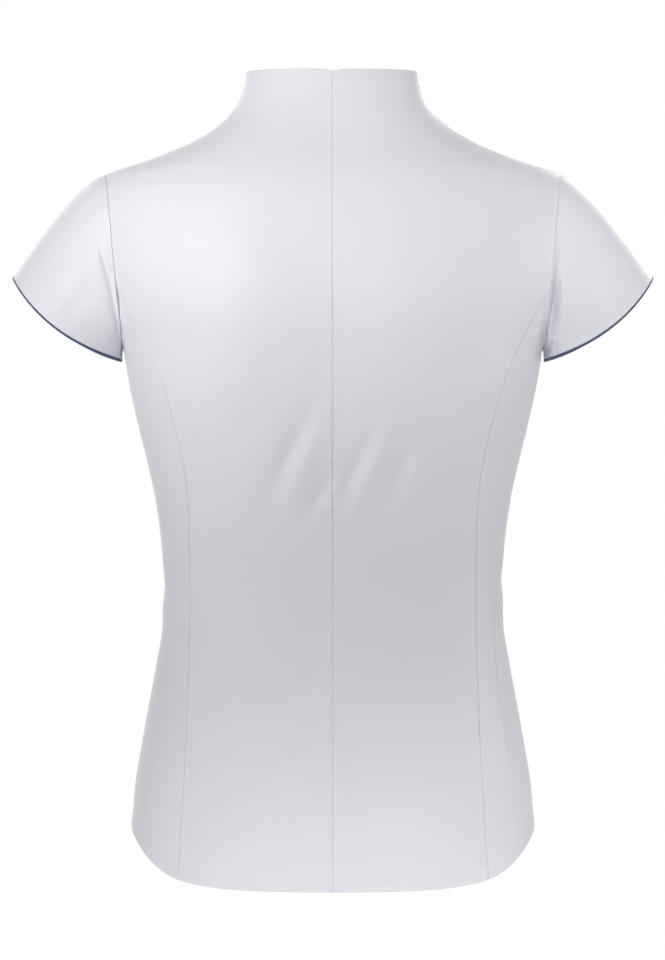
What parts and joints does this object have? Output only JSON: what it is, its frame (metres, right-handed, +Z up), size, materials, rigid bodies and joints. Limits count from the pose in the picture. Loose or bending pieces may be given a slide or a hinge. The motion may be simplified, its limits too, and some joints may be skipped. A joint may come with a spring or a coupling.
{
  "type": "blouse",
  "caption": "Women's fitted white blouse, hollow as worn: stand-up collar cut in one with the body, V neck, button front, short cap sleeves with blue piping, shaped back seams, curved hem.",
  "frame": {"origin": "the point midway between the tips of the shoulders, where the wearer carries the blouse", "axes": "+Z up, the front faces -Y, the wearer's left is +X"},
  "size_m": [0.5396, 0.2414, 0.6784],
  "materials": {
    "white_cloth": "fine cotton satin with a soft sheen",
    "blue_piping": "matt woven piping",
    "button_plastic": "polished white"
  },
  "bodies": {
    "root": {"back_left": "white_cloth", "back_right": "white_cloth", "back_side_left": "white_cloth", "back_side_right": "white_cloth", "front_left": "white_cloth", "front_right": "white_cloth", "sleeve_left": "white_cloth", "sleeve_right": "white_cloth", "sleeve_piping_left": "blue_piping", "sleeve_piping_right": "blue_piping", "button_1": "button_plastic", "button_2": "button_plastic", "button_3": "button_plastic", "button_4": "button_plastic", "button_5": "button_plastic", "button_6": "button_plastic", "button_7": "button_plastic"}
  },
  "joints": []
}
